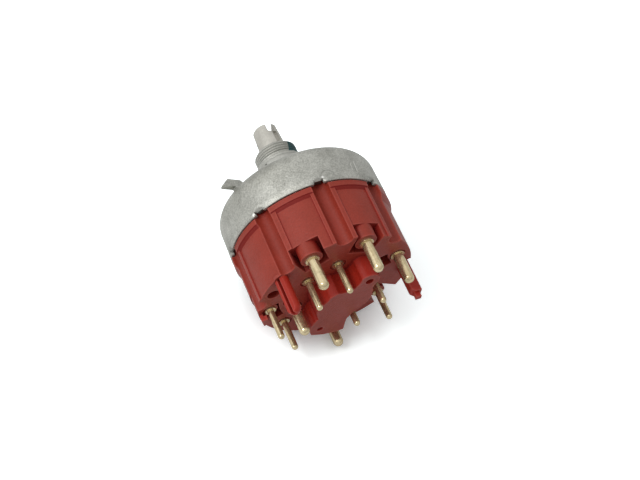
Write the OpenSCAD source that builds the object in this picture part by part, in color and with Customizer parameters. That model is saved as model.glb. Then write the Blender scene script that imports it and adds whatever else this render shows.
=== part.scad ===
// Headlight switch: a cast cap with a threaded neck, a moulded base with twelve pins,
// a spindle that turns and pulls, and the contact parts between them.
// The switch lies along Y: the spindle points to +Y and the pins point to -Y.
// The origin is on the axis, in the flat face of the cap that bears on the panel.
// Each module draws its piece upright, with z counted from that face towards the
// pins, and laid() turns it into place. Angles run from +X towards +Z.

/* [Cap] */
// Outer radius of the cap at its rim
cap_r = 31.9; // [31.7:0.1:33]
// Height of the cap from its flat face to its rim
cap_h = 18; // [17:0.5:21]
// Thickness of the cap's top and wall
cap_wall = 2.2; // [1.8:0.1:2.6]
// How far the cap's wall leans in from the rim to the shoulder
cap_draft = 0.25; // [0:0.05:0.5]
// Radius of the rounded shoulder
shoulder_r = 5.8; // [4.5:0.1:7]
// Thickness of the rim around the base
rim_wall = 1.6; // [1.3:0.1:2]
// Width of each notch that is cut in the rim to stake it
notch_w = 3.8; // [3.4:0.1:4.6]
// Height of each notch
notch_h = 1.8; // [1.4:0.1:2.4]
// Width of the tongue that is pressed in behind each notch
tongue_w = 3.2; // [2.4:0.1:3.4]
// Thickness of the tongue
tongue_t = 0.9; // [0.7:0.1:1]
// How far the tongue reaches into its groove
tongue_len = 2; // [1.6:0.1:2.3]

/* [Neck] */
// Radius of the neck where it meets the flat face
neck_r = 11.5; // [10.5:0.1:13]
// Outer radius of the thread
thread_r = 8.5; // [8:0.1:9]
// Length of the threaded end
thread_len = 5; // [4:0.5:10]
// Length of the neck from the flat face to its end
neck_len = 20.3; // [18:0.1:23]
// Chamfer at the end of the neck
neck_chamfer = 1.1; // [0.5:0.1:1.6]
// Radius of the boss inside the cap that carries the rotor
boss_r = 11.5; // [10.5:0.1:13]
// Height of that boss
boss_h = 6; // [5:0.1:6.6]

/* [Locating tab] */
// Angle of the tab around the axis
tab_angle = 149.5; // [140:0.5:165]
// Width of the tab
tab_w = 2.4; // [2:0.1:4]
// Height of the tab above the flat face
tab_h = 3.2; // [2:0.1:3.6]
// How far the tab stands out beyond the cap's side
tab_out = 2.4; // [1.6:0.1:4]

/* [Spindle] */
// Radius of the spindle where it runs in the neck
spindle_r = 5.3; // [4.9:0.05:5.4]
// Radius of the spindle at its tip
spindle_tip_r = 4.8; // [4.2:0.05:4.9]
// Length of the spindle that stands out of the neck
spindle_out = 11.3; // [9:0.1:15]
// Radial clearance of the spindle and of the rotor in their bearings
running_fit = 0.05; // [0.03:0.01:0.08]
// Width of the slot across the tip
slot_w = 2.4; // [1.8:0.05:3]
// Depth of that slot
slot_depth = 4.2; // [2.5:0.1:5]
// Angle of the slot around the axis
slot_angle = 99; // [80:1:120]
// Distance from the axis to the middle of the slot
slot_offset = 1.7; // [0:0.1:2]
// Width of the keyway for the knob
key_w = 2; // [1.5:0.1:2.5]
// Depth of the keyway, counted from the spindle's radius at the tip
key_depth = 0.8; // [0.4:0.1:1.2]
// Length of the keyway
key_len = 14; // [11:0.5:17]
// Angle of the keyway around the axis
key_angle = 62; // [50:1:70]
// Distance from the axis to each drive flat
flat_r = 4.2; // [3.9:0.05:4.4]
// How far the spindle can be pulled out
travel = 10; // [8:0.5:11]
// Radius of the thin end that carries the carriage
stub_r = 3; // [2.8:0.05:3.2]

/* [Base] */
// Radial gap between the base and the cap's rim
rim_fit = 0.1; // [0.05:0.05:0.15]
// How far the body of the base stands out from the part inside the cap
body_step = 0.4; // [0.3:0.05:0.6]
// Height of the base from the cap's rim to its end face
base_h = 24.8; // [23.5:0.1:26]
// Height of the part of the base inside the cap
spigot_h = 6; // [5.5:0.1:7]
// How far the band below the cap's rim stands out from the body
band_step = 0.4; // [0.2:0.05:0.5]
// Height of the band
band_h = 2.1; // [1.6:0.1:2.6]
// How far the thicker band stands out, around the side that has no fields
side_band_step = 1.2; // [0.9:0.05:1.3]
// Height of that thicker band
side_band_h = 6.5; // [5:0.1:7]
// Height over which that band tapers down to the body
side_taper_h = 2.8; // [1:0.1:4]
// Height of the slope from the band down to each field
slope_h = 1.4; // [1:0.1:2]
// Depth of the field in each panel
field_depth = 0.5; // [0.3:0.05:0.7]
// Radius of the round grooves between the panels
groove_r = 3.25; // [2.9:0.05:3.4]
// Thickness of the wall around the chamber
chamber_wall = 7.4; // [7.3:0.1:8]
// Thickness of the end plate
plate_t = 9.3; // [8.8:0.1:9.8]
// Depth of the pockets around the outer pins
pocket_depth = 5.7; // [5:0.1:6.4]
// Width of those pockets at the outside of the base
pocket_w = 12.2; // [11.6:0.1:12.6]
// Width of those pockets at their inner end
pocket_in_w = 9.8; // [9:0.1:11]
// Length of those pockets, from the outside inwards
pocket_len = 10.6; // [9.8:0.1:11]
// Height of the raised block on the end face
block_h = 8.8; // [8.4:0.1:10]
// Radius of the middle of the block
block_r = 9.7; // [9.6:0.1:10.2]
// Radius of the block's tower
tower_r = 4.15; // [3.8:0.05:4.5]
// Thickness of the block's face over the hollow
block_wall = 2; // [1.6:0.1:2.2]

/* [Lugs] */
// Radius of the round lug with the channel
channel_lug_r = 2.6; // [2.4:0.1:2.8]
// Height of that lug
channel_lug_h = 15; // [12:0.5:18]
// Radius of the channel's bottom
channel_r = 0.65; // [0.5:0.05:0.9]
// Width of the tall lug
tall_lug_w = 4.4; // [3.8:0.1:5]
// Height of that lug's body
tall_lug_h = 12.8; // [11:0.1:14]
// How far the nib stands above that body
nib_h = 2; // [1:0.1:3]
// Width of the low lug
short_lug_w = 5; // [4.4:0.1:5.4]
// Height of that lug
short_lug_h = 2.8; // [2:0.1:3.2]
// Thickness of that lug
short_lug_t = 2.5; // [2:0.1:2.6]

/* [Pins] */
// Radius of the large pins
large_r = 2; // [1.9:0.05:2.1]
// Radius of the small pins
small_r = 1.25; // [1.15:0.05:1.4]
// Distance from the outside of the base to the middle of each outer pin
pin_inset = 4.7; // [4.6:0.05:5]
// Length of a pin from the end face to its tip
pin_len = 12.5; // [11:0.1:14]
// Thickness of the collar on each pin
collar_t = 0.8; // [0.6:0.1:1]
// Radius of a large pin's collar
large_collar_r = 2.7; // [2.5:0.05:2.9]
// Radius of a small pin's collar
small_collar_r = 2.2; // [2:0.05:2.4]
// How far each collar is sunk below the end face
collar_sunk = 0.5; // [0.3:0.05:0.7]
// Radius of the posts around the two pins at the side
post_r = 4.2; // [4:0.05:4.5]
// Radial gap between a pin and its hole
pin_fit = 0.03; // [0.02:0.01:0.05]

/* [Contacts] */
// Thickness of the contact strips and bridges
strip_t = 0.8; // [0.6:0.05:0.9]
// Height of the rivet heads and contact buttons
button_h = 0.8; // [0.6:0.05:1]
// Radius of the circle on which the contact buttons lie
track_r = 15; // [14.8:0.1:15.4]
// Gap between the bridges and the buttons
contact_gap = 0.4; // [0.3:0.05:0.6]
// Length of each bridge
bridge_len = 11; // [9:0.5:12]
// Width of each bridge
bridge_w = 4.6; // [4:0.1:5]

/* [Rotor] */
// Radius of the rotor's journal in the cap
journal_r = 8; // [7.6:0.05:8.4]
// Radial gap between the rotor's notched rim and the chamber wall
rotor_gap = 3; // [2.8:0.05:3.2]
// Thickness of the rim
rim_t = 5; // [4.6:0.1:5.4]
// Radius of the detent balls
ball_r = 2; // [1.8:0.05:2.1]
// Radial gap between the rim and the balls
ball_gap = 0.3; // [0.25:0.05:0.5]
// Thickness of the thrust washer
washer_t = 0.6; // [0.5:0.05:0.8]

/* [Hidden] */
$fn = 96;
eps = 0.01;

// Levels along the axis, counted from the cap's flat face towards the pins
rim_z = cap_h;
spigot_z = rim_z - spigot_h;
end_z = rim_z + base_h;
floor_z = end_z - plate_t;
pocket_z = end_z - pocket_depth;
collar_z = end_z - collar_sunk;
tip_z = end_z + pin_len;
block_z = end_z + block_h;
hollow_z = block_z - block_wall;
button_z = floor_z - strip_t - button_h;
bridge_z = button_z - contact_gap - strip_t;
detent_z = spigot_z + 3;
boss_z = cap_wall + boss_h;
journal_z = cap_wall + 1;
play = 0.1;
washer_z = boss_z + play;
shoulder_z = washer_z + washer_t + play;
ring_h = 7.2;
ring_z = floor_z - ring_h;
rotor_end = ring_z - 0.3;
carriage_h = 6;
carriage_z = ring_z + travel + 1.7;
spindle_step = carriage_z - play;
clip_z = carriage_z + carriage_h + play;
clip_t = 0.8;
spindle_end = clip_z + clip_t + 1.3;
spindle_tip = -neck_len - spindle_out;
taper_z = -neck_len - 2.5;

// Radii that follow from others
cap_top_r = cap_r - cap_draft;
face_r = cap_top_r - shoulder_r;
tab_reach = cap_r + tab_out;
socket_r = cap_r - rim_wall;
spigot_r = socket_r - rim_fit;
base_r = spigot_r + body_step;
band_r = base_r + band_step;
side_band_r = base_r + side_band_step;
field_r = base_r - field_depth;
chamber_r = base_r - chamber_wall;
rotor_r = chamber_r - rotor_gap;
pocket_in = base_r - pocket_len;
outer_at = base_r - pin_inset;
bore_r = spindle_r + running_fit;
ledge_r = min(face_r + shoulder_r - cap_wall, socket_r - 0.5);
guide_half = spindle_r + 0.55;
guide_r = 7.9;
carriage_gap = 0.15;
detent_in = rotor_r + 1.4;
ball_at = rotor_r + ball_gap + ball_r;
head_room = 3;
large_head_r = 2.4;
small_head_r = 1.9;

// Each pin: distance from the axis and angle around it
large_pins = [[outer_at, 117], [outer_at, 69.4], [outer_at - 0.4, 20.4], [17.5, 207.1],
    [outer_at, 270.4]];
small_pins = [[14.4, 144.9], [14.5, 93.1], [outer_at, 192.1], [outer_at - 0.2, 223.2],
    [14.7, 294.1], [14.8, 356.5], [outer_at - 0.4, 320.8]];
bridge_angles = [11, 131, 251];
detent_angles = [157.5, 337.5];
detent_step = 30;
detent_phase = 7.5;
full_grooves = [0, 45, 90, 135, 180];
short_grooves = [225, 270, 315];
short_groove_len = 10;
tongue_z = rim_z - notch_h - 0.65;
groove_z = tongue_z - 0.3;
body_z = rim_z + band_h;

// Angles at which each field starts and ends, and those of the side without fields
fields = [[54.2, 80.5], [98.6, 124.9], [141, 170.5]];
side_from = 184;
side_to = 401;
step_from = 182;
step_to = 223;

// Moulded relief behind the side without fields: two arcs and an empty pin hole
outer_arc = [base_r - 8.3, base_r - 5.2, 184, 209];
inner_arc = [base_r - 12, base_r - 9.9, 180, 192];
spare_hole_r = 2.5;
spare_hole_at = 166.3;
channel_lug_at = 145.3;
short_lug_at = 197.4;
side_post_r = 3.1;
middle_post_r = 3.7;

metal_grey = [0.66, 0.66, 0.62];
moulding_red = [0.72, 0.13, 0.11];
brass = [0.83, 0.74, 0.5];
steel = [0.7, 0.7, 0.72];
inner_black = [0.2, 0.2, 0.21];

module laid() {
    rotate([90, 0, 0]) children();
}

module polar(r, angle) {
    rotate(angle) translate([r, 0, 0]) children();
}

module at_pin(pin) {
    polar(pin[0], pin[1]) children();
}

// Part of a ring between two radii, two angles and two levels
module sector(r_in, r_out, from, to, low, high) {
    translate([0, 0, low]) rotate(from) rotate_extrude(angle = to - from)
        translate([r_in, 0]) square([r_out - r_in, high - low]);
}

// Wire coil along z: a round wire carried along a helix
module coil(coil_r, wire_r, length, turns) {
    sides = 6;
    rings = turns * 12;
    climb = length - 2 * wire_r;
    points = [for (i = [0:rings], j = [0:sides - 1])
        let (turn = 360 * turns * i / rings, a = 360 * j / sides, r = coil_r + wire_r * cos(a))
        [r * cos(turn), r * sin(turn), wire_r + climb * i / rings + wire_r * sin(a)]];
    walls = [for (i = [0:rings - 1], j = [0:sides - 1])
        let (k = (j + 1) % sides, a = i * sides)
        [a + j, a + sides + j, a + sides + k, a + k]];
    start = [for (j = [0:sides - 1]) j];
    end = [for (j = [sides - 1:-1:0]) rings * sides + j];
    polyhedron(points, concat(walls, [start, end]));
}

// Cap: die-cast, with its neck, the boss for the rotor and the staked rim
module cap_outline() {
    square([face_r, shoulder_r + 1]);
    translate([face_r, shoulder_r]) circle(shoulder_r);
    polygon([[0, shoulder_r], [cap_top_r, shoulder_r], [cap_r, rim_z - 0.5],
        [cap_r - 0.3, rim_z], [0, rim_z]]);
    polygon([[0, eps], [neck_r, eps], [thread_r + 0.5, thread_len - neck_len + 0.5],
        [thread_r, thread_len - neck_len], [thread_r, neck_chamfer - neck_len],
        [thread_r - neck_chamfer, -neck_len], [0, -neck_len]]);
}

module cap_hollow() {
    translate([0, spigot_z]) square([socket_r, spigot_h + 1]);
    translate([0, shoulder_r]) square([ledge_r, spigot_z - shoulder_r + eps]);
    translate([0, cap_wall]) square([face_r, shoulder_r - cap_wall + eps]);
    translate([face_r, shoulder_r]) circle(shoulder_r - cap_wall);
}

module cap_section() {
    difference() {
        cap_outline();
        intersection() {
            cap_hollow();
            square([ledge_r, spigot_z + eps]);
        }
        translate([0, spigot_z]) square([socket_r, spigot_h + 1]);
        translate([0, -neck_len - 1]) square([bore_r, neck_len + rim_z + 2]);
    }
    translate([bore_r, cap_wall / 2]) square([boss_r - bore_r, journal_z - cap_wall / 2]);
    translate([journal_r + running_fit, cap_wall / 2])
        square([boss_r - journal_r - running_fit, boss_z - cap_wall / 2]);
}

module locating_tab() {
    root = face_r - 1;
    rotate(tab_angle) translate([0, tab_w / 2, 0]) rotate([90, 0, 0])
        linear_extrude(tab_w)
        polygon([[root, 1], [root, -tab_h + 0.8], [root + 0.9, -tab_h],
            [tab_reach - 2.6, -tab_h], [tab_reach, -0.7], [tab_reach, 0],
            [face_r + 3.2, 0], [face_r + 2.4, 1]]);
}

module cap() {
    color(metal_grey) laid() {
        difference() {
            union() {
                rotate_extrude() cap_section();
                locating_tab();
            }
            for (a = [0:45:315])
                rotate(a) translate([socket_r - 1, -notch_w / 2, rim_z - notch_h])
                    cube([rim_wall + 2, notch_w, notch_h + 1]);
        }
        for (a = [0:45:315])
            rotate(a) translate([base_r - tongue_len, -tongue_w / 2, tongue_z])
                cube([socket_r - base_r + tongue_len + 0.4, tongue_w, tongue_t]);
    }
}

// Base: one moulding with the chamber, the pin bores, the block and three lugs
module pin_pocket(pin) {
    rotate(pin[1]) translate([0, 0, pocket_z]) linear_extrude(pocket_depth + 1)
        polygon([[pocket_in, -pocket_in_w / 2], [base_r + 1, -pocket_w / 2],
            [base_r + 1, pocket_w / 2], [pocket_in, pocket_in_w / 2]]);
}

module block_outline() {
    difference() {
        union() {
            circle(block_r);
            translate([8.3, 11.7]) circle(tower_r);
            polygon([[2.9, 9], [5, 13], [8, 14], [12, 12], [11.2, 8.8], [10.6, 6.6],
                [10.9, 2.8], [10.9, -0.8], [9, -5], [0, 0]]);
            polygon([[0, 0], [-11, 0.4], [-10.7, -1.5], [-9.5, -6.6], [-10.4, -7.3],
                [-11.7, -10], [-12.4, -13.4], [-11.2, -17.5], [-6, -19.7], [0, -20.6],
                [2.3, -20], [2.3, -16.4], [2.5, -13.5], [3.1, -11.5], [5, -8]]);
        }
        at_pin(small_pins[0]) circle(5.4);
        at_pin(small_pins[1]) circle(6);
        at_pin(small_pins[4]) circle(3.5);
        at_pin(small_pins[5]) circle(3.6);
        at_pin(large_pins[3]) circle(4.6);
    }
}

module block() {
    difference() {
        translate([0, 0, end_z - 1]) linear_extrude(block_h + 1) intersection() {
            block_outline();
            circle(20.6);
        }
        translate([8.5, 11.6, block_z - 4]) cylinder(r = 1.6, h = 5);
        translate([-8, -14.4, block_z - 1.2]) cylinder(r = 1.25, h = 2);
    }
}

module channel_lug() {
    channel_y = 0.2;
    polar(base_r - channel_lug_r - 0.1, channel_lug_at) difference() {
        union() {
            translate([0, 0, end_z - 1]) cylinder(r = channel_lug_r, h = channel_lug_h + 1 - channel_lug_r);
            translate([0, 0, end_z + channel_lug_h - channel_lug_r]) sphere(channel_lug_r);
        }
        translate([0, channel_y, end_z]) cylinder(r = channel_r, h = channel_lug_h + 1);
        translate([0, channel_y - channel_r, end_z])
            cube([channel_lug_r, 2 * channel_r, channel_lug_h + 1]);
        translate([channel_lug_r - 1, -channel_lug_r, end_z])
            cube([channel_lug_r, 2 * channel_lug_r, channel_lug_h + 1]);
    }
}

module tall_lug() {
    top = end_z + tall_lug_h;
    translate([base_r - 4.7, -3, 0]) {
        translate([0, tall_lug_w, 0]) rotate([90, 0, 0]) linear_extrude(tall_lug_w)
            polygon([[0, end_z - 1], [3.75, end_z - 1], [3.75, top], [1.4, top], [0, top - 1.4]]);
        translate([0.8, 1.2, end_z]) cube([2.2, 2, tall_lug_h + nib_h]);
    }
}

module short_lug() {
    top = end_z + short_lug_h;
    rotate(short_lug_at) translate([base_r - 0.3 - short_lug_t, -short_lug_w / 2, 0])
        rotate([90, 0, 90]) linear_extrude(short_lug_t)
        polygon([[0, end_z - 1], [short_lug_w, end_z - 1], [short_lug_w, top - 0.7],
            [short_lug_w - 0.8, top], [0, top]]);
}

module base_body() {
    rotate_extrude() polygon([[0, spigot_z], [spigot_r, spigot_z], [spigot_r, rim_z],
        [band_r, rim_z], [band_r, body_z], [base_r, body_z + band_step], [base_r, end_z], [0, end_z]]);
    rotate(side_from) rotate_extrude(angle = side_to - side_from)
        polygon([[field_r, rim_z], [side_band_r, rim_z],
            [side_band_r, rim_z + side_band_h - side_taper_h],
            [base_r, rim_z + side_band_h], [field_r, rim_z + side_band_h]]);
    sector(field_r, band_r, step_from, step_to, rim_z, pocket_z - 1.6);
}

// Sunken field of a panel, with the slope that leads down to it from the band
module field_cut(from, to) {
    top = body_z + band_step + 0.05;
    rotate(from) rotate_extrude(angle = to - from)
        polygon([[base_r, top], [base_r + 2, top], [base_r + 2, end_z + 1], [field_r, end_z + 1],
            [field_r, body_z + slope_h]]);
}

module base_cuts() {
    for (a = full_grooves)
        polar(base_r, a) translate([0, 0, groove_z]) cylinder(r = groove_r, h = end_z - groove_z + 1);
    for (a = short_grooves)
        polar(base_r, a) translate([0, 0, groove_z]) cylinder(r = groove_r, h = short_groove_len);
    for (field = fields)
        field_cut(field[0], field[1]);
    for (i = [0, 1])
        pin_pocket(large_pins[i]);
    pin_pocket(small_pins[6]);
    rotate(20.4) translate([17.6, -4, pocket_z]) cube([4.6, 8, pocket_depth + 1]);
    for (arc = [outer_arc, inner_arc])
        sector(arc[0], arc[1], arc[2], arc[3], pocket_z, end_z + 1);
    polar(outer_at - 0.2, spare_hole_at) translate([0, 0, end_z - 3])
        cylinder(r = spare_hole_r, h = 4);
}

module base_posts() {
    for (i = [0, 1])
        at_pin(large_pins[i]) translate([0, 0, pocket_z - 1])
            cylinder(r = post_r, h = collar_z - pocket_z + 1);
    for (pin = [small_pins[2], small_pins[3], small_pins[6]])
        at_pin(pin) translate([0, 0, pocket_z - 1])
            cylinder(r = side_post_r, h = collar_z - pocket_z + 1);
    at_pin(large_pins[2]) translate([0, 0, pocket_z - 1])
        cylinder(r = middle_post_r, h = collar_z - pocket_z + 1);
}

// Bore for a pin, with the recess for its collar
module pin_bore(pin, bore, recess) {
    at_pin(pin) {
        translate([0, 0, floor_z - 1]) cylinder(r = bore, h = plate_t + 3);
        translate([0, 0, collar_z]) cylinder(r = recess, h = collar_sunk + 1);
    }
}

// Recess in the chamber wall for the head of an outer pin and the end of its strip
module head_recess(pin, half) {
    rotate(pin[1]) translate([0, 0, floor_z - head_room]) {
        translate([pin[0], 0, 0]) cylinder(r = half, h = head_room);
        translate([pin[0] - 4, -half, 0]) cube([4, 2 * half, head_room]);
    }
}

module pin_bores() {
    for (pin = large_pins)
        pin_bore(pin, large_r + pin_fit, large_collar_r + 0.5);
    for (pin = small_pins)
        pin_bore(pin, small_r + pin_fit, small_collar_r + 1);
    for (i = [0, 1, 2, 4])
        head_recess(large_pins[i], large_head_r + 0.2);
    for (i = [2, 3, 6])
        head_recess(small_pins[i], small_head_r + 0.2);
}

module guide_hole() {
    intersection() {
        translate([-guide_half, -guide_half, ring_z - 1])
            cube([2 * guide_half, 2 * guide_half, hollow_z - ring_z + 1]);
        translate([0, 0, ring_z - 1]) cylinder(r = guide_r, h = hollow_z - ring_z + 1);
    }
}

module chamber() {
    difference() {
        translate([0, 0, spigot_z - 1]) cylinder(r = chamber_r, h = floor_z - spigot_z + 1);
        translate([0, 0, ring_z]) cylinder(r = block_r, h = ring_h + 1);
        for (a = detent_angles)
            rotate(a) translate([detent_in, -4, spigot_z]) cube([5, 8, 6.5]);
    }
}

module base() {
    color(moulding_red) laid() difference() {
        union() {
            difference() {
                base_body();
                base_cuts();
            }
            base_posts();
            block();
            channel_lug();
            tall_lug();
            short_lug();
        }
        chamber();
        guide_hole();
        pin_bores();
        for (a = detent_angles)
            rotate(a) translate([detent_in - 1, 0, detent_z]) rotate([0, 90, 0])
                cylinder(r = ball_r + 0.1, h = 12);
    }
}

// Spindle: turned, with the split tip, the drive flats and the stub for the carriage
module spindle() {
    chamfer = 0.5;
    color(metal_grey) laid() difference() {
        union() {
            translate([0, 0, spindle_tip])
                cylinder(r1 = spindle_tip_r - chamfer, r2 = spindle_tip_r, h = chamfer);
            translate([0, 0, spindle_tip + chamfer])
                cylinder(r1 = spindle_tip_r, r2 = spindle_r, h = taper_z - spindle_tip - chamfer);
            translate([0, 0, taper_z]) cylinder(r = spindle_r, h = spindle_step - taper_z);
            translate([0, 0, spindle_step]) cylinder(r = stub_r, h = spindle_end - spindle_step);
        }
        rotate(slot_angle) translate([-8, -slot_offset, spindle_tip + slot_depth - slot_w / 2]) {
            rotate([0, 90, 0]) cylinder(r = slot_w / 2, h = 16);
            translate([0, -slot_w / 2, -slot_depth]) cube([16, slot_w, slot_depth]);
        }
        rotate(key_angle) translate([spindle_tip_r - key_depth, -key_w / 2, spindle_tip + slot_depth + 0.2])
            cube([3, key_w, key_len]);
        for (side = [0, 180])
            rotate(side) translate([flat_r, -8, -8]) cube([8, 16, spindle_step + 8]);
        translate([0, 0, clip_z - 0.05]) difference() {
            cylinder(r = stub_r + 1, h = clip_t + 0.1);
            translate([0, 0, -1]) cylinder(r = stub_r - 0.7, h = clip_t + 3);
        }
        rotate(190) translate([spindle_r - 1.2, 0, -26]) rotate([0, 90, 0]) cylinder(r = 0.5, h = 3);
    }
}

// Rotor: moulded carrier that the spindle turns
module rotor() {
    color(inner_black) laid() difference() {
        union() {
            translate([0, 0, journal_z + 0.3]) cylinder(r = journal_r, h = shoulder_z - journal_z);
            translate([0, 0, shoulder_z]) cylinder(r = boss_r + 0.5, h = detent_z - shoulder_z);
            translate([0, 0, detent_z - rim_t / 2]) cylinder(r = rotor_r, h = rim_t);
            translate([0, 0, detent_z]) cylinder(r = block_r - 0.7, h = rotor_end - detent_z);
            for (a = bridge_angles)
                polar(track_r - 0.5, a) translate([0, 0, detent_z])
                    cylinder(r = 5.2, h = rotor_end - detent_z);
        }
        for (a = [detent_phase:detent_step:359])
            polar(ball_at, a) translate([0, 0, detent_z - rim_t])
                cylinder(r = ball_r + ball_gap + 0.3, h = 2 * rim_t);
        difference() {
            cylinder(r = bore_r, h = end_z);
            for (side = [0, 180])
                rotate(side) translate([flat_r + running_fit, -8, -1]) cube([8, 16, end_z + 2]);
        }
        for (a = bridge_angles)
            polar(track_r, a) difference() {
                translate([0, 0, bridge_z - 9.6]) cylinder(r = 3.1, h = 20);
                cylinder(r = 1.3, h = end_z);
            }
    }
    color(inner_black) laid() for (a = bridge_angles)
        polar(track_r, a) translate([0, 0, bridge_z - 10]) cylinder(r = 1.3, h = 10 + strip_t - 0.1);
}

module thrust_washer() {
    color(steel) laid() translate([0, 0, washer_z]) difference() {
        cylinder(r = boss_r - 0.3, h = washer_t);
        translate([0, 0, -1]) cylinder(r = journal_r + 0.3, h = washer_t + 2);
    }
}

// Carriage: slides in the square guide with the spindle but doesn't turn
module carriage() {
    half = guide_half - carriage_gap;
    color(inner_black) laid() difference() {
        intersection() {
            translate([-half, -half, carriage_z]) cube([2 * half, 2 * half, carriage_h]);
            translate([0, 0, carriage_z]) cylinder(r = guide_r - 0.3, h = carriage_h);
        }
        translate([0, 0, carriage_z - 1]) cylinder(r = stub_r + running_fit, h = carriage_h + 2);
        translate([-half - 1, -2.5, carriage_z + 0.6]) cube([strip_t + 1.1, 5, carriage_h]);
    }
}

module pull_contact() {
    half = guide_half - carriage_gap;
    color(brass) laid() translate([-half + 0.05, -2.45, carriage_z + 0.65])
        cube([strip_t, 4.9, carriage_h - 1]);
}

module circlip() {
    color(steel) laid() translate([0, 0, clip_z]) difference() {
        cylinder(r = stub_r + 1.4, h = clip_t);
        translate([0, 0, -1]) cylinder(r = stub_r - 0.65, h = clip_t + 2);
        translate([0, -1.6, -1]) cube([8, 3.2, clip_t + 2]);
    }
}

module detent_ball(i) {
    color(steel) laid() polar(ball_at, detent_angles[i]) translate([0, 0, detent_z]) sphere(ball_r);
}

module detent_spring(i) {
    start = ball_at + ball_r + 0.05;
    color(steel) laid() rotate(detent_angles[i]) translate([start, 0, detent_z]) rotate([0, 90, 0])
        coil(ball_r - 0.45, 0.3, socket_r - start - 0.1, 4);
}

module bridge(i) {
    color(brass) laid() polar(track_r, bridge_angles[i]) translate([0, 0, bridge_z])
        difference() {
            union() {
                translate([-bridge_w / 2, bridge_w / 2 - bridge_len / 2, 0])
                    cube([bridge_w, bridge_len - bridge_w, strip_t]);
                for (side = [-1, 1])
                    translate([0, side * (bridge_len - bridge_w) / 2, 0])
                        cylinder(r = bridge_w / 2, h = strip_t);
            }
            translate([0, 0, -1]) cylinder(r = 1.35, h = strip_t + 2);
        }
}

module bridge_spring(i) {
    color(steel) laid() polar(track_r, bridge_angles[i]) translate([0, 0, bridge_z - 9.55])
        coil(2.2, 0.3, 9.5, 6);
}

// Pin: turned from brass, with a round tip, a collar and a head riveted over inside
module pin(place, pin_r, collar_r, head_r, under_head) {
    color(brass) laid() at_pin(place) {
        translate([0, 0, button_z]) cylinder(r = head_r, h = under_head - button_z);
        translate([0, 0, button_z]) cylinder(r = pin_r, h = tip_z - pin_r - button_z);
        translate([0, 0, tip_z - pin_r]) sphere(pin_r);
        translate([0, 0, collar_z]) cylinder(r = collar_r, h = collar_t);
    }
}

module large_pin(i) {
    under_head = i == 3 ? floor_z : floor_z - strip_t;
    pin(large_pins[i], large_r, large_collar_r, large_head_r, under_head);
}

module small_pin(i) {
    inner = i == 0 || i == 1 || i == 4 || i == 5;
    under_head = inner ? floor_z : floor_z - strip_t;
    pin(small_pins[i], small_r, small_collar_r, small_head_r, under_head);
}

// Strip: stamped brass that leads from an outer pin to its contact button
module strip(place, pin_r, width) {
    color(brass) laid() rotate(place[1]) translate([0, 0, floor_z - strip_t]) difference() {
        union() {
            translate([track_r, -width / 2, 0]) cube([place[0] - track_r, width, strip_t]);
            translate([track_r, 0, 0]) cylinder(r = width / 2, h = strip_t);
            translate([place[0], 0, 0]) cylinder(r = width / 2, h = strip_t);
            translate([track_r, 0, -button_h]) cylinder(r = width / 2 - 0.3, h = button_h + eps);
        }
        translate([place[0], 0, -1]) cylinder(r = pin_r + pin_fit, h = strip_t + 2);
    }
}

module strip_large(i) {
    strip(large_pins[i], large_r, 2 * large_head_r);
}

module strip_small(i) {
    strip(small_pins[i], small_r, 2 * small_head_r);
}

cap();
base();
spindle();
rotor();
thrust_washer();
carriage();
pull_contact();
circlip();
for (i = [0, 1]) {
    detent_ball(i);
    detent_spring(i);
}
for (i = [0:2]) {
    bridge(i);
    bridge_spring(i);
}
for (i = [0:4])
    large_pin(i);
for (i = [0:6])
    small_pin(i);
for (i = [0, 1, 2, 4])
    strip_large(i);
for (i = [2, 3, 6])
    strip_small(i);
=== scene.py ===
import math

import bmesh
import bpy
import numpy as np
from mathutils import Matrix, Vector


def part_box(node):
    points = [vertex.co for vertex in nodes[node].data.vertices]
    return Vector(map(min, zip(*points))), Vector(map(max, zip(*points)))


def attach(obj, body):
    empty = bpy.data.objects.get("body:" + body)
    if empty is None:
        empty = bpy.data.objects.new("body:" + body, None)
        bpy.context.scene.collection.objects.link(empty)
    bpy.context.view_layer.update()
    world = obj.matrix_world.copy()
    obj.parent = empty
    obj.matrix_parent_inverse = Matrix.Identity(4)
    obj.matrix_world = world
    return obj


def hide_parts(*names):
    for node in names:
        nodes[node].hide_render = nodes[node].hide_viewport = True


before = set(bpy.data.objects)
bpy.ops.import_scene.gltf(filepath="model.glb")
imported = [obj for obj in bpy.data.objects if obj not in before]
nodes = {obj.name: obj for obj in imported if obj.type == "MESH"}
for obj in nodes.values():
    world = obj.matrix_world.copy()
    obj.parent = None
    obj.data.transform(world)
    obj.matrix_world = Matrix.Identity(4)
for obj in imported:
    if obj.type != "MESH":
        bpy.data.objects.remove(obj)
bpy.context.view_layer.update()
scene = bpy.context.scene

# Camera: the switch lies on its side and is seen from above, from the side of its
# pins. The three directions are the camera's right, up and back in the switch's frame.
CAMERA_RIGHT = (0.92146, -0.373093, 0.108267)
CAMERA_UP = (0.261781, 0.802235, 0.536558)
CAMERA_BACK = (-0.287041, -0.466069, 0.836896)
CAMERA_PLACE = (-0.145757, -0.262731, 0.430597)
camera_data = bpy.data.cameras.new("camera")
camera_data.lens = 76.66
camera_data.sensor_width = 36.0
camera_data.clip_start = 0.01
camera_data.clip_end = 20.0
camera = bpy.data.objects.new("camera", camera_data)
scene.collection.objects.link(camera)
camera.matrix_world = Matrix(
    [(CAMERA_RIGHT[i], CAMERA_UP[i], CAMERA_BACK[i], CAMERA_PLACE[i]) for i in range(3)]
    + [(0.0, 0.0, 0.0, 1.0)]
)
scene.camera = camera

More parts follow.
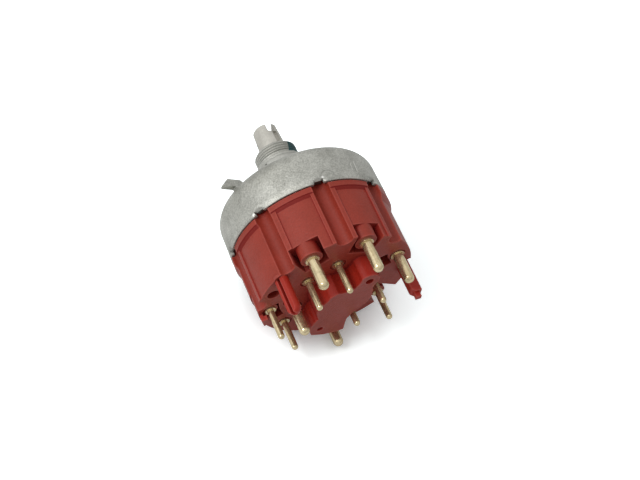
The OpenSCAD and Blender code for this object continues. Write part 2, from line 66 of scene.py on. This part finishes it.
# Table: a matt white sheet under the switch, which rests on the cap's rim and on the
# end of its base, so the sheet is tilted by a few degrees in the switch's own frame.
# The camera sees it in a brighter white than the grey that lights the switch.
TABLE_HALF = 3.0
RIM_CONTACT, END_CONTACT = (-0.018, -0.0319), (-0.0428, -0.03075)  # (Y, Z)
TABLE_GREY, SEEN_WHITE = (0.6, 0.6, 0.6, 1), (1.46, 1.54, 1.55)
TABLE_GLOW, TABLE_MIRRORED = 0.07, 0.1
SHADOW_REACH, DEEPEST_SHADOW = 0.020, 0.5


def mesh_object(name, points, faces, smooth=True):
    """A mesh object at the origin from an array of points and an array of faces."""
    mesh = bpy.data.meshes.new(name)
    mesh.from_pydata(np.asarray(points, float).tolist(), [], np.asarray(faces, int).tolist())
    mesh.update()
    if smooth:
        mesh.polygons.foreach_set("use_smooth", [True] * len(mesh.polygons))
    piece = bpy.data.objects.new(name, mesh)
    scene.collection.objects.link(piece)
    return piece


def new_material(name, **values):
    """A material whose Principled shader has these plain values. Returns the material,
    its node tree and the shader."""
    material = bpy.data.materials.new(name)
    material.use_nodes = True
    shader = material.node_tree.nodes["Principled BSDF"]
    for socket, value in values.items():
        shader.inputs[socket.replace("_", " ")].default_value = value
    return material, material.node_tree, shader


def add(tree, kind, *sources, **settings):
    """A node of this kind. Each source is (input, value or output socket)."""
    node = tree.nodes.new(kind)
    for name, value in settings.items():
        setattr(node, name, value)
    for socket, value in sources:
        if isinstance(value, bpy.types.NodeSocket):
            tree.links.new(value, node.inputs[socket])
        else:
            node.inputs[socket].default_value = value
    return node


def calc(tree, operation, *values):
    """One step of arithmetic on numbers or sockets."""
    return add(tree, "ShaderNodeMath", *enumerate(values), operation=operation).outputs[0]


def ranged(tree, value, low, high, to_low=0.0, to_high=1.0):
    """A value moved from one range to another, and held inside it."""
    return add(tree, "ShaderNodeMapRange", ("Value", value), ("From Min", low),
               ("From Max", high), ("To Min", to_low), ("To Max", to_high)).outputs[0]


def seen_share(tree, share):
    """1 for what the camera sees itself, and a share for what metal or glass mirrors."""
    path = add(tree, "ShaderNodeLightPath").outputs
    mirrored = calc(tree, "MAXIMUM", path["Is Glossy Ray"], path["Is Transmission Ray"])
    return calc(tree, "MAXIMUM", path["Is Camera Ray"], calc(tree, "MULTIPLY", mirrored, share))


slope = (END_CONTACT[1] - RIM_CONTACT[1]) / (END_CONTACT[0] - RIM_CONTACT[0])
near, far = (RIM_CONTACT[1] + slope * (side * TABLE_HALF - RIM_CONTACT[0]) for side in (-1, 1))
corners = [(-TABLE_HALF, -TABLE_HALF, near), (TABLE_HALF, -TABLE_HALF, near),
           (TABLE_HALF, TABLE_HALF, far), (-TABLE_HALF, TABLE_HALF, far)]
table = mesh_object("table", corners, [(0, 1, 2, 3)], smooth=False)

table_white, tree, shader = new_material("table_white", Base_Color=TABLE_GREY, Roughness=0.8)
glow = add(tree, "ShaderNodeEmission", ("Color", (1, 1, 1, 1)), ("Strength", TABLE_GLOW))
# Painted shadow: near the switch, the sheet's ambient occlusion darkens the white the camera
# sees, deepening the cast shadow there.
under = add(tree, "ShaderNodeAmbientOcclusion", ("Distance", SHADOW_REACH))
shade = ranged(tree, under.outputs["AO"], 0.2, 0.8, DEEPEST_SHADOW, 1.0)
tinted = add(tree, "ShaderNodeVectorMath", (0, SEEN_WHITE), ("Scale", shade), operation="SCALE")
bright = add(tree, "ShaderNodeBsdfDiffuse", ("Color", tinted.outputs[0]))
both = add(tree, "ShaderNodeAddShader", (0, bright.outputs[0]), (1, glow.outputs[0]))
mix = add(tree, "ShaderNodeMixShader", ("Fac", seen_share(tree, TABLE_MIRRORED)),
          (1, shader.outputs[0]), (2, both.outputs[0]))
tree.links.new(mix.outputs[0], tree.nodes["Material Output"].inputs["Surface"])
table.data.materials.append(table_white)

# Light: an even pale room that is brighter above and behind the switch, with a broad soft
# lamp above it at the left and a weaker one low at the left. The backdrop is plain white.
ROOM_TOP = (-0.25, 0.22, 0.94)
ROOM_DIM, ROOM_BRIGHT, ROOM_MIRRORED = 0.30, 0.92, 0.15
LAMP_AIM = (0, -0.02, 0)
scene.view_settings.view_transform = "Standard"

world = bpy.data.worlds.new("room")
world.use_nodes = True
scene.world = world
tree = world.node_tree
direction = add(tree, "ShaderNodeTexCoord").outputs["Generated"]
upward = add(tree, "ShaderNodeVectorMath", (0, direction), (1, ROOM_TOP), operation="DOT_PRODUCT")
room = tree.nodes["Background"]
room.inputs["Color"].default_value = (1, 1, 1, 1)
overhead = ranged(tree, upward.outputs["Value"], -0.3, 1.0, ROOM_DIM, ROOM_BRIGHT)
tree.links.new(overhead, room.inputs["Strength"])
backdrop = add(tree, "ShaderNodeBackground", ("Color", (1, 1, 1, 1)), ("Strength", 1.0))
mix = add(tree, "ShaderNodeMixShader", ("Fac", seen_share(tree, ROOM_MIRRORED)),
          (1, room.outputs[0]), (2, backdrop.outputs[0]))
tree.links.new(mix.outputs[0], tree.nodes["World Output"].inputs["Surface"])


def lamp(name, place, size, power):
    """A square lamp at a place, turned to face the switch."""
    data = bpy.data.lights.new(name, "AREA")
    data.size, data.energy = size, power
    holder = bpy.data.objects.new(name, data)
    scene.collection.objects.link(holder)
    back = np.array(place, float) - np.array(LAMP_AIM, float)
    back /= np.linalg.norm(back)
    right = np.cross((0, 0, 1), back)
    right /= np.linalg.norm(right)
    up = np.cross(back, right)
    holder.matrix_world = Matrix(
        [(right[i], up[i], back[i], place[i]) for i in range(3)] + [(0, 0, 0, 1)])


lamp("soft_lamp", (-0.44, 0.0, 0.60), 0.26, 2.3)
lamp("left_lamp", (-0.75, -0.10, 0.30), 0.4, 0.25)

# Cap: one zinc die casting with its neck, left bare. Its skin is dull and mottled where
# the metal froze in the die, with a fine grain. The turns of the thread are cut into the
# end of the neck, and a dab of green lacquer lies on them.
MM = 0.001
CAST_DARK, CAST_PALE = (0.27, 0.271, 0.243, 1), (0.62, 0.621, 0.57, 1)
RUBBED_METAL, CLOUDED_METAL = (0.72, 0.72, 0.68, 1), (0.22, 0.215, 0.18, 1)
# The dark colour for hollows and the near-black one behind the notches are painted shade.
EDGE_METAL, CORNER_SHADE_METAL = (0.70, 0.70, 0.67, 1), (0.10, 0.10, 0.085, 1)
BURR_METAL, SCRATCH_METAL = (0.85, 0.85, 0.81, 1), (0.85, 0.85, 0.80, 1)
STAIN, NOTCH_SHADE = (0.12, 0.12, 0.105, 1), (0.03, 0.028, 0.022, 1)
GREEN_LACQUER, LACQUER_ANGLE = (0.012, 0.06, 0.062, 1), math.radians(29)
LACQUER_SIDE, LACQUER_LOW = 6.7 * MM, 14.4 * MM
WALL_R = 31.7  # mm, where the marks on the cap's wall lie
NUMBER, VECTOR = "NodeSocketFloat", "NodeSocketVector"


def new_group(name, inputs, outputs):
    """A node group with inputs, each (name, socket type), and outputs of one number
    each. Returns the group, what it is given and its output node."""
    group = bpy.data.node_groups.new(name, "ShaderNodeTree")
    for label, kind in inputs:
        group.interface.new_socket(label, in_out="INPUT", socket_type=kind)
    for label in outputs:
        group.interface.new_socket(label, in_out="OUTPUT", socket_type=NUMBER)
    return group, add(group, "NodeGroupInput").outputs, add(group, "NodeGroupOutput")


def skin_group():
    """Cast or moulded skin. Mottle is broad cloudiness and Speckle a fine grain, both
    from 0 to 1, and Height is the raw grain for Bump."""
    group, given, result = new_group(
        "cast_skin", [("Mottle Scale", NUMBER), ("Speckle Scale", NUMBER)],
        ["Mottle", "Speckle", "Height"])
    place = add(group, "ShaderNodeTexCoord").outputs["Object"]
    broad = add(group, "ShaderNodeTexNoise", ("Vector", place), ("Scale", given["Mottle Scale"]),
                ("Detail", 4.0), ("Roughness", 0.6)).outputs[0]
    fine = add(group, "ShaderNodeTexNoise", ("Vector", place), ("Scale", given["Speckle Scale"]),
               ("Detail", 2.0), ("Distortion", 0.4)).outputs[0]
    group.links.new(ranged(group, broad, 0.32, 0.68), result.inputs["Mottle"])
    group.links.new(ranged(group, fine, 0.3, 0.7), result.inputs["Speckle"])
    group.links.new(fine, result.inputs["Height"])
    return group


def corner_group(name, inside):
    """0 on open faces and up to 1 within Reach of a hollow corner, or with inside of an
    outer edge, which is 1 less the ambient occlusion. The reach is in metres."""
    group, given, result = new_group(name, [("Reach", NUMBER)], ["Mask"])
    open_sky = add(group, "ShaderNodeAmbientOcclusion", ("Distance", given["Reach"]),
                   inside=inside, only_local=True, samples=6).outputs["AO"]
    group.links.new(calc(group, "SUBTRACT", 1.0, open_sky), result.inputs["Mask"])
    return group


def mark_group():
    """A round mark: 1 within Inner of its Centre and 0 beyond Outer, in metres, with
    Wobble added to the distance."""
    group, given, result = new_group(
        "round_mark", [("Place", VECTOR), ("Centre", VECTOR), ("Wobble", NUMBER),
                       ("Inner", NUMBER), ("Outer", NUMBER)], ["Mask"])
    away = add(group, "ShaderNodeVectorMath", (0, given["Place"]), (1, given["Centre"]),
               operation="DISTANCE").outputs["Value"]
    mask = ranged(group, calc(group, "ADD", away, given["Wobble"]),
                  given["Inner"], given["Outer"], 1.0, 0.0)
    group.links.new(mask, result.inputs["Mask"])
    return group


cast_skin = skin_group()
hollow_corner = corner_group("hollow_corner", inside=False)
outer_edge = corner_group("outer_edge", inside=True)
round_mark = mark_group()


def skin(tree, mottle_scale, speckle_scale):
    """The cast_skin group placed in a material with its own two scales."""
    return add(tree, "ShaderNodeGroup", ("Mottle Scale", mottle_scale),
               ("Speckle Scale", speckle_scale), node_tree=cast_skin).outputs


def near_corner(tree, group, reach):
    """The mask of hollow_corner or outer_edge, placed in a material with its reach."""
    return add(tree, "ShaderNodeGroup", ("Reach", reach), node_tree=group).outputs["Mask"]


def spot(tree, place, wobble, centre, inner, outer):
    """The mask of round_mark, placed in a material."""
    return add(tree, "ShaderNodeGroup", ("Place", place), ("Centre", centre), ("Wobble", wobble),
               ("Inner", inner), ("Outer", outer), node_tree=round_mark).outputs["Mask"]


def blend(tree, factor, first, second):
    """A colour between two colours or sockets."""
    node = add(tree, "ShaderNodeMix", ("Factor", factor), data_type="RGBA")
    for index, value in ((6, first), (7, second)):
        if isinstance(value, bpy.types.NodeSocket):
            tree.links.new(value, node.inputs[index])
        else:
            node.inputs[index].default_value = value
    return node.outputs[2]


def rough(tree, shader, height, distance, edge_radius):
    """The shader's normal: edges rounded to a radius, then a height through Bump. Both
    lengths are in metres."""
    soft = add(tree, "ShaderNodeBevel", ("Radius", edge_radius), samples=6)
    bump = add(tree, "ShaderNodeBump", ("Height", height), ("Distance", distance),
               ("Normal", soft.outputs[0]))
    tree.links.new(bump.outputs[0], shader.inputs["Normal"])


def on_cap(degrees, length, radius):
    """A point in metres from its angle around the axis, its Y and its radius in mm."""
    turn = math.radians(degrees)
    return (radius * math.cos(turn) / 1000, length / 1000, radius * math.sin(turn) / 1000)


def scratch(tree, place, low, high, half_width):
    """1 on a straight scratch between two points on the cap's wall: a band across the
    run times a band along it."""
    low, high = np.array(low), np.array(high)
    run = (high - low) / np.linalg.norm(high - low)
    side = np.cross(run, (low[0], 0, low[2]))
    side /= np.linalg.norm(side)
    offset = add(tree, "ShaderNodeVectorMath", (0, place), (1, tuple(low)),
                 operation="SUBTRACT").outputs[0]
    across = add(tree, "ShaderNodeVectorMath", (0, offset), (1, tuple(side)),
                 operation="DOT_PRODUCT").outputs["Value"]
    down = add(tree, "ShaderNodeVectorMath", (0, offset), (1, tuple(run)),
               operation="DOT_PRODUCT").outputs["Value"]
    middle = np.linalg.norm(high - low) / 2
    line = ranged(tree, calc(tree, "ABSOLUTE", across), half_width * 0.4, half_width, 1.0, 0.0)
    reach = calc(tree, "ABSOLUTE", calc(tree, "SUBTRACT", down, middle))
    return calc(tree, "MULTIPLY", line, ranged(tree, reach, middle * 0.7, middle, 1.0, 0.0))


cap_metal, tree, shader = new_material("cap_metal", Roughness=0.5)
surface = skin(tree, 150.0, 1700.0)
place = add(tree, "ShaderNodeTexCoord").outputs["Object"]
along = add(tree, "ShaderNodeSeparateXYZ", ("Vector", place)).outputs["Y"]
wobble = calc(tree, "MULTIPLY", calc(tree, "SUBTRACT", surface["Speckle"], 0.5), 0.6 * MM)

# The bare skin: rubbed on the neck, clouded in patches, worn at edges, and with painted shade
# darkening its hollows.
tone = calc(tree, "ADD", calc(tree, "MULTIPLY", surface["Mottle"], 0.4),
            calc(tree, "MULTIPLY", surface["Speckle"], 0.6))
metal = blend(tree, tone, CAST_DARK, CAST_PALE)
metal = blend(tree, ranged(tree, along, 2 * MM, 12 * MM, 0.0, 0.35), metal, RUBBED_METAL)
clouds = add(tree, "ShaderNodeTexNoise", ("Vector", place), ("Scale", 55.0),
             ("Detail", 3.0)).outputs[0]
metal = blend(tree, ranged(tree, clouds, 0.45, 0.65, 0.0, 0.3), metal, CLOUDED_METAL)
edge_tint = ranged(tree, near_corner(tree, outer_edge, 0.5 * MM), 0.15, 0.6, 0.0, 0.2)
metal = blend(tree, edge_tint, metal, EDGE_METAL)
# Painted shade: the metal is darkened within reach of hollow corners.
corner_shade = ranged(tree, near_corner(tree, hollow_corner, 1.2 * MM), 0.15, 0.6, 0.0, 0.6)
metal = blend(tree, corner_shade, metal, CORNER_SHADE_METAL)

# Marks: a burr beside three of the notches, a stain on the neck, a faint arc above one
# notch, and two light scratches.
burrs = 0.0
for degrees, length, size in ((139.2, -16.9, 0.6), (86.4, -15.9, 0.6), (47.6, -17.0, 0.55)):
    burr = spot(tree, place, wobble, on_cap(degrees, length, WALL_R + 0.1), 0.3 * MM, size * MM)
    burrs = calc(tree, "MAXIMUM", burrs, burr)
metal = blend(tree, burrs, metal, BURR_METAL)
stain = spot(tree, place, wobble, on_cap(138.8, 11.8, 9.6), 0.2 * MM, 0.7 * MM)
ARC_CENTRE, ARC_R, ARC_DEPTH = on_cap(82.2, -16.0, WALL_R), 2.7 * MM, 0.4
from_arc = add(tree, "ShaderNodeVectorMath", (0, place), (1, ARC_CENTRE),
               operation="DISTANCE").outputs["Value"]
off_arc = calc(tree, "ABSOLUTE", calc(tree, "SUBTRACT", from_arc, ARC_R))
arc = calc(tree, "MULTIPLY", ranged(tree, off_arc, 0.1 * MM, 0.4 * MM, ARC_DEPTH, 0.0),
           ranged(tree, along, -16.0 * MM, -14.5 * MM))
metal = blend(tree, calc(tree, "MAXIMUM", stain, arc), metal, STAIN)
scratches = calc(
    tree, "MAXIMUM",
    scratch(tree, place, on_cap(57.4, -14.8, WALL_R), on_cap(56.1, -9.0, 31.6), 0.3 * MM),
    scratch(tree, place, on_cap(61.4, -14.2, WALL_R), on_cap(60.2, -10.4, 31.6), 0.22 * MM))
metal = blend(tree, calc(tree, "MULTIPLY", scratches, 0.6), metal, SCRATCH_METAL)

# Behind the rim the notches show painted shade: the cap's metal there is darkened to near black
# where the recess lies in shadow.
flat = add(tree, "ShaderNodeVectorMath", (0, place), (1, (1, 0, 1)), operation="MULTIPLY")
from_axis = add(tree, "ShaderNodeVectorMath", (0, flat.outputs[0]), operation="LENGTH")
behind = calc(tree, "MULTIPLY",
              ranged(tree, from_axis.outputs["Value"], 30.3 * MM, 30.6 * MM, 1.0, 0.0),
              ranged(tree, along, -15.2 * MM, -14.6 * MM, 1.0, 0.0))
metal = blend(tree, calc(tree, "MULTIPLY", behind, 0.9), metal, NOTCH_SHADE)

# The lacquer lies on one side of the thread, with a wavy edge.
LACQUER_SIDEWAYS = (math.cos(LACQUER_ANGLE), 0, math.sin(LACQUER_ANGLE))
sideways = add(tree, "ShaderNodeVectorMath", (0, place), (1, LACQUER_SIDEWAYS),
               operation="DOT_PRODUCT").outputs["Value"]
wavy = calc(tree, "MULTIPLY", calc(tree, "SUBTRACT", surface["Mottle"], 0.5), 1.2 * MM)
lacquer = calc(tree, "MULTIPLY", *[
    ranged(tree, calc(tree, "ADD", value, wavy), start, start + 0.2 * MM)
    for value, start in ((sideways, LACQUER_SIDE), (along, LACQUER_LOW))])
tree.links.new(blend(tree, lacquer, metal, GREEN_LACQUER), shader.inputs["Base Color"])
tree.links.new(ranged(tree, surface["Mottle"], 0, 1, 0.56, 0.44), shader.inputs["Roughness"])
bare = calc(tree, "SUBTRACT", 1.0, lacquer)
tree.links.new(calc(tree, "MULTIPLY", bare, 0.75), shader.inputs["Metallic"])
rough(tree, shader, surface["Height"], 0.12 * MM, 0.3 * MM)

# The neck's plain wall is turned down to the core of the thread in a copy of the cap, and
# the thread itself is a sleeve around that core. Its first turns run out on the cone.
NECK_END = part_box("cap")[1][1]
THREAD_R, THREAD_CORE, THREAD_DEPTH, THREAD_PITCH = 8.5 * MM, 7.7 * MM, 0.5 * MM, 1.1 * MM
PLAIN_END, CONE_END, CONE_FOOT_R = NECK_END - 5.0 * MM, NECK_END - 5.5 * MM, 11.5 * MM
THREAD_START, RUN_IN, CHAMFER = NECK_END - 7.4 * MM, 2.0 * MM, 1.1 * MM
TURN_STEPS, LENGTH_STEPS = 144, 120


def grid_faces(rows, columns):
    """Quads of a grid that closes on itself along its rows and along its columns."""
    r = np.arange(rows)[:, None]
    c = np.arange(columns)[None, :]
    r2, c2 = (r + 1) % rows, (c + 1) % columns
    quads = [r * columns + c, r * columns + c2, r2 * columns + c2, r2 * columns + c]
    return np.stack(quads, -1).reshape(-1, 4)


def neck_radius(length):
    """The radius of the neck's outside at a length from the flat face: a cone up to
    CONE_END, a short step and then the plain wall."""
    return np.interp(length, [0, CONE_END, PLAIN_END],
                     [CONE_FOOT_R, THREAD_R + 0.5 * MM, THREAD_R])


def thread_sleeve():
    """Points on turn and length: the radius is the neck's own less the depth times a
    rounded triangle wave of (length / pitch - turn), and less what the end chamfer cuts
    away. The last rows come back inside the neck, so the sleeve is closed."""
    turn = np.linspace(0, 2 * np.pi, TURN_STEPS, endpoint=False)[None, :]
    length = np.linspace(THREAD_START, NECK_END - 0.15 * MM, LENGTH_STEPS)[:, None]
    wave = np.abs(2 * ((length / THREAD_PITCH - turn / (2 * np.pi)) % 1.0) - 1.0)
    wave = np.clip(1.25 * wave - 0.125, 0, 1)
    deepening = np.clip((length - THREAD_START) / RUN_IN, 0, 1)
    radius = neck_radius(length) + 0.03 * MM - THREAD_DEPTH * wave * deepening
    radius = np.minimum(radius, THREAD_R - CHAMFER + (NECK_END - length))
    inside = np.full_like(radius[:2], THREAD_CORE - 0.4 * MM)
    radius = np.concatenate([radius, inside])
    length = np.concatenate([length, length[-1:], length[:1]]) + 0 * turn
    points = np.stack([radius * np.sin(turn), length, radius * np.cos(turn)], -1)
    return points.reshape(-1, 3), len(radius)


points, rows = thread_sleeve()
neck_thread = mesh_object("neck_thread", points, grid_faces(rows, TURN_STEPS))
neck_thread.data.materials.append(cap_metal)
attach(neck_thread, "housing")

# The copy of the cap: two cuts around the neck let its wall step in below the sleeve, and
# the edge of the rim is lifted a little, so a thin dark line shows between cap and base.
CORE_CUTS = (THREAD_START + 0.05 * MM, THREAD_START + 0.15 * MM)
CORE_STEP = 0.8 * MM
RIM_INNER_R, RIM_EDGE, RIM_LIFT = 30.2 * MM, -17.4 * MM, 0.25 * MM
casting = bmesh.new()
casting.from_mesh(nodes["cap"].data)
bmesh.ops.remove_doubles(casting, verts=casting.verts, dist=1e-6)
for level in CORE_CUTS:
    bmesh.ops.bisect_plane(
        casting, geom=casting.verts[:] + casting.edges[:] + casting.faces[:], dist=1e-7,
        plane_co=(0, level, 0), plane_no=(0, 1, 0))
for vert in casting.verts:
    reach = math.hypot(vert.co.x, vert.co.z)
    outside = reach > THREAD_CORE + 0.3 * MM
    if outside and THREAD_START + 0.1 * MM < vert.co.y < NECK_END - 1.0 * MM:
        vert.co.x *= (reach - CORE_STEP) / reach
        vert.co.z *= (reach - CORE_STEP) / reach
    if reach > RIM_INNER_R and vert.co.y < RIM_EDGE:
        vert.co.y += RIM_LIFT
bmesh.ops.recalc_face_normals(casting, faces=casting.faces)
cap_mesh = bpy.data.meshes.new("cap_casting")
casting.to_mesh(cap_mesh)
casting.free()
cap_mesh.polygons.foreach_set("use_smooth", [True] * len(cap_mesh.polygons))
cap_mesh.set_sharp_from_angle(angle=math.radians(25))
cap_mesh.materials.append(cap_metal)
cap_casting = bpy.data.objects.new("cap_casting", cap_mesh)
scene.collection.objects.link(cap_casting)
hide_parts("cap")
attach(cap_casting, "housing")

# Spindle: a paler shaft in the same metal, with a finer skin. Its tip is split and has a
# keyway, so that the knob springs on over it. Edges are darker, and it has one dark dot.
SPINDLE_DARK, SPINDLE_PALE = (0.43, 0.415, 0.37, 1), (0.60, 0.585, 0.53, 1)
DOT, SPINDLE_EDGE = (0.09, 0.085, 0.07, 1), (0.22, 0.21, 0.18, 1)


def dress(material, *names):
    """Gives a material to the slots of these CAD nodes."""
    for name in names:
        slots = nodes[name].data.materials
        slots.clear()
        slots.append(material)


spindle_metal, tree, shader = new_material("spindle_metal", Metallic=0.5, Roughness=0.45)
surface = skin(tree, 200.0, 1500.0)
place = add(tree, "ShaderNodeTexCoord").outputs["Object"]
tone = calc(tree, "ADD", calc(tree, "MULTIPLY", surface["Mottle"], 0.6),
            calc(tree, "MULTIPLY", surface["Speckle"], 0.4))
metal = blend(tree, tone, SPINDLE_DARK, SPINDLE_PALE)
dot = spot(tree, place, 0.0, on_cap(184, 25.0, 5.2), 0.3 * MM, 0.9 * MM)
metal = blend(tree, dot, metal, DOT)
edge_tint = ranged(tree, near_corner(tree, outer_edge, 0.5 * MM), 0.12, 0.5, 0.0, 0.5)
metal = blend(tree, edge_tint, metal, SPINDLE_EDGE)
tree.links.new(metal, shader.inputs["Base Color"])
rough(tree, shader, surface["Height"], 0.05 * MM, 0.4 * MM)
dress(spindle_metal, "spindle")

# Base: one red plastic moulding that carries the pins, held by the staked rim of the cap.
# Its skin has a faint bloom. Painted shade makes the hollows and the sloping borders of the
# panels a darker, deeper red, painted light makes the walls of the block, posts and lugs a
# brighter, deeper red, and painted highlights make its edges paler.
BASE_DARK, BASE_PALE = (0.215, 0.025, 0.013, 1), (0.30, 0.036, 0.021, 1)
# Of these reds, the hollow and slope ones are painted shade, the wall one painted light, and the
# paler one for edges painted highlight.
HOLLOW_SHADE_RED, SLOPE_SHADE_RED = (0.20, 0.002, 0.0005, 1), (0.15, 0.001, 0.0005, 1)
LIT_WALL_RED, EDGE_HIGHLIGHT_RED = (0.33, 0.010, 0.003, 1), (0.44, 0.085, 0.065, 1)
PANEL_TOP, END_FACE, BLOCK_FACE = -21.9 * MM, -43.0 * MM, -51.7 * MM

base_red, tree, shader = new_material("base_red", Specular_IOR_Level=0.28)
surface = skin(tree, 90.0, 1600.0)
where = add(tree, "ShaderNodeTexCoord")
facing = add(tree, "ShaderNodeSeparateXYZ", ("Vector", where.outputs["Normal"])).outputs["Y"]
along = add(tree, "ShaderNodeSeparateXYZ", ("Vector", where.outputs["Object"])).outputs["Y"]
tone = calc(tree, "MULTIPLY", calc(tree, "ADD", surface["Mottle"], surface["Speckle"]), 0.5)
red = blend(tree, tone, BASE_DARK, BASE_PALE)
# Painted shade: hollows are darkened to a deeper red, and dulled.
hollow = ranged(tree, near_corner(tree, hollow_corner, 3 * MM), 0.1, 0.5)
red = blend(tree, calc(tree, "MULTIPLY", hollow, 0.85), red, HOLLOW_SHADE_RED)
# Painted shade: the strip that slopes down under the band, facing the pins, is darkened to a deep
# red.
sloping = calc(tree, "MULTIPLY", ranged(tree, facing, -0.5, -0.3, 1.0, 0.0),
               ranged(tree, facing, -0.9, -0.8))
sloping = calc(tree, "MULTIPLY", sloping, ranged(tree, along, PANEL_TOP, PANEL_TOP + 0.2 * MM))
red = blend(tree, calc(tree, "MULTIPLY", sloping, 0.9), red, SLOPE_SHADE_RED)
# Painted light: the walls beyond the end face get a brighter, deeper red for the lamp and the red
# bounce light on them.
past_end = ranged(tree, along, END_FACE - 0.4 * MM, END_FACE, 1.0, 0.0)
past_block = ranged(tree, along, BLOCK_FACE - 0.3 * MM, BLOCK_FACE, 1.0, 0.0)
upright = calc(tree, "MAXIMUM", ranged(tree, facing, -0.95, -0.85), past_block)
walls = calc(tree, "MULTIPLY", past_end, upright)
red = blend(tree, calc(tree, "MULTIPLY", walls, 0.7), red, LIT_WALL_RED)
# Painted highlights: the outer edges of the moulding are made paler.
edge_tint = ranged(tree, near_corner(tree, outer_edge, 0.8 * MM), 0.12, 0.5, 0.0, 0.55)
red = blend(tree, edge_tint, red, EDGE_HIGHLIGHT_RED)
tree.links.new(red, shader.inputs["Base Color"])
gloss = ranged(tree, surface["Mottle"], 0, 1, 0.46, 0.38)
dull = calc(tree, "MULTIPLY", calc(tree, "MAXIMUM", hollow, sloping), 0.35)
tree.links.new(calc(tree, "ADD", gloss, dull), shader.inputs["Roughness"])
rough(tree, shader, surface["Height"], 0.09 * MM, 0.3 * MM)
dress(base_red, "base")

# Terminal pins, contact strips and bridges: brass, turned or stamped. The pins are riveted
# into the base. Fine drawn streaks run along them, and they are a little tarnished.
BRASS_DARK, BRASS_PALE = (0.58, 0.465, 0.26, 1), (0.84, 0.72, 0.47, 1)
TARNISH = (0.30, 0.235, 0.13, 1)
ALONG_PIN = (1, 0.05, 1)

pin_brass, tree, shader = new_material("pin_brass", Metallic=0.85)
surface = skin(tree, 260.0, 1800.0)
place = add(tree, "ShaderNodeTexCoord").outputs["Object"]
drawn = add(tree, "ShaderNodeVectorMath", (0, place), (1, ALONG_PIN), operation="MULTIPLY")
streak = add(tree, "ShaderNodeTexNoise", ("Vector", drawn.outputs[0]), ("Scale", 1800.0),
             ("Detail", 2.0)).outputs[0]
streak = ranged(tree, streak, 0.35, 0.65)
tone = calc(tree, "MULTIPLY", calc(tree, "ADD", surface["Mottle"], streak), 0.5)
brass = blend(tree, tone, BRASS_DARK, BRASS_PALE)
tarnish = add(tree, "ShaderNodeTexNoise", ("Vector", place), ("Scale", 420.0),
              ("Detail", 3.0)).outputs[0]
brass = blend(tree, ranged(tree, tarnish, 0.5, 0.68, 0.0, 0.45), brass, TARNISH)
tree.links.new(brass, shader.inputs["Base Color"])
tree.links.new(ranged(tree, surface["Mottle"], 0, 1, 0.26, 0.16), shader.inputs["Roughness"])
rough(tree, shader, streak, 0.004 * MM, 0.06 * MM)
dress(pin_brass, *[n for n in nodes if n.startswith(("large_pin", "small_pin", "strip_"))],
      "bridge_1", "bridge_2", "bridge_3", "pull_contact")

# Rotor and carriage: black plastic mouldings inside the chamber, which the spindle turns
# and pulls. They don't show while the switch is whole.
BLACK, WORN_BLACK = (0.012, 0.012, 0.013, 1), (0.022, 0.022, 0.023, 1)

inner_black, tree, shader = new_material("inner_black", Roughness=0.45)
surface = skin(tree, 120.0, 1700.0)
tree.links.new(blend(tree, surface["Mottle"], BLACK, WORN_BLACK), shader.inputs["Base Color"])
rough(tree, shader, surface["Height"], 0.03 * MM, 0.2 * MM)
dress(inner_black, "rotor", "carriage")

# Springs, balls, washer and clip: bright steel, wound, ground or stamped, each in its
# seat inside the switch. They don't show either.
STEEL_DARK, STEEL_PALE = (0.42, 0.42, 0.43, 1), (0.6, 0.6, 0.61, 1)

spring_steel, tree, shader = new_material("spring_steel", Metallic=1.0, Roughness=0.28)
surface = skin(tree, 300.0, 2000.0)
steel = blend(tree, surface["Mottle"], STEEL_DARK, STEEL_PALE)
tree.links.new(steel, shader.inputs["Base Color"])
dress(spring_steel, "thrust_washer", "circlip", "detent_ball_1", "detent_ball_2",
      "detent_spring_1", "detent_spring_2", "bridge_spring_1", "bridge_spring_2",
      "bridge_spring_3")
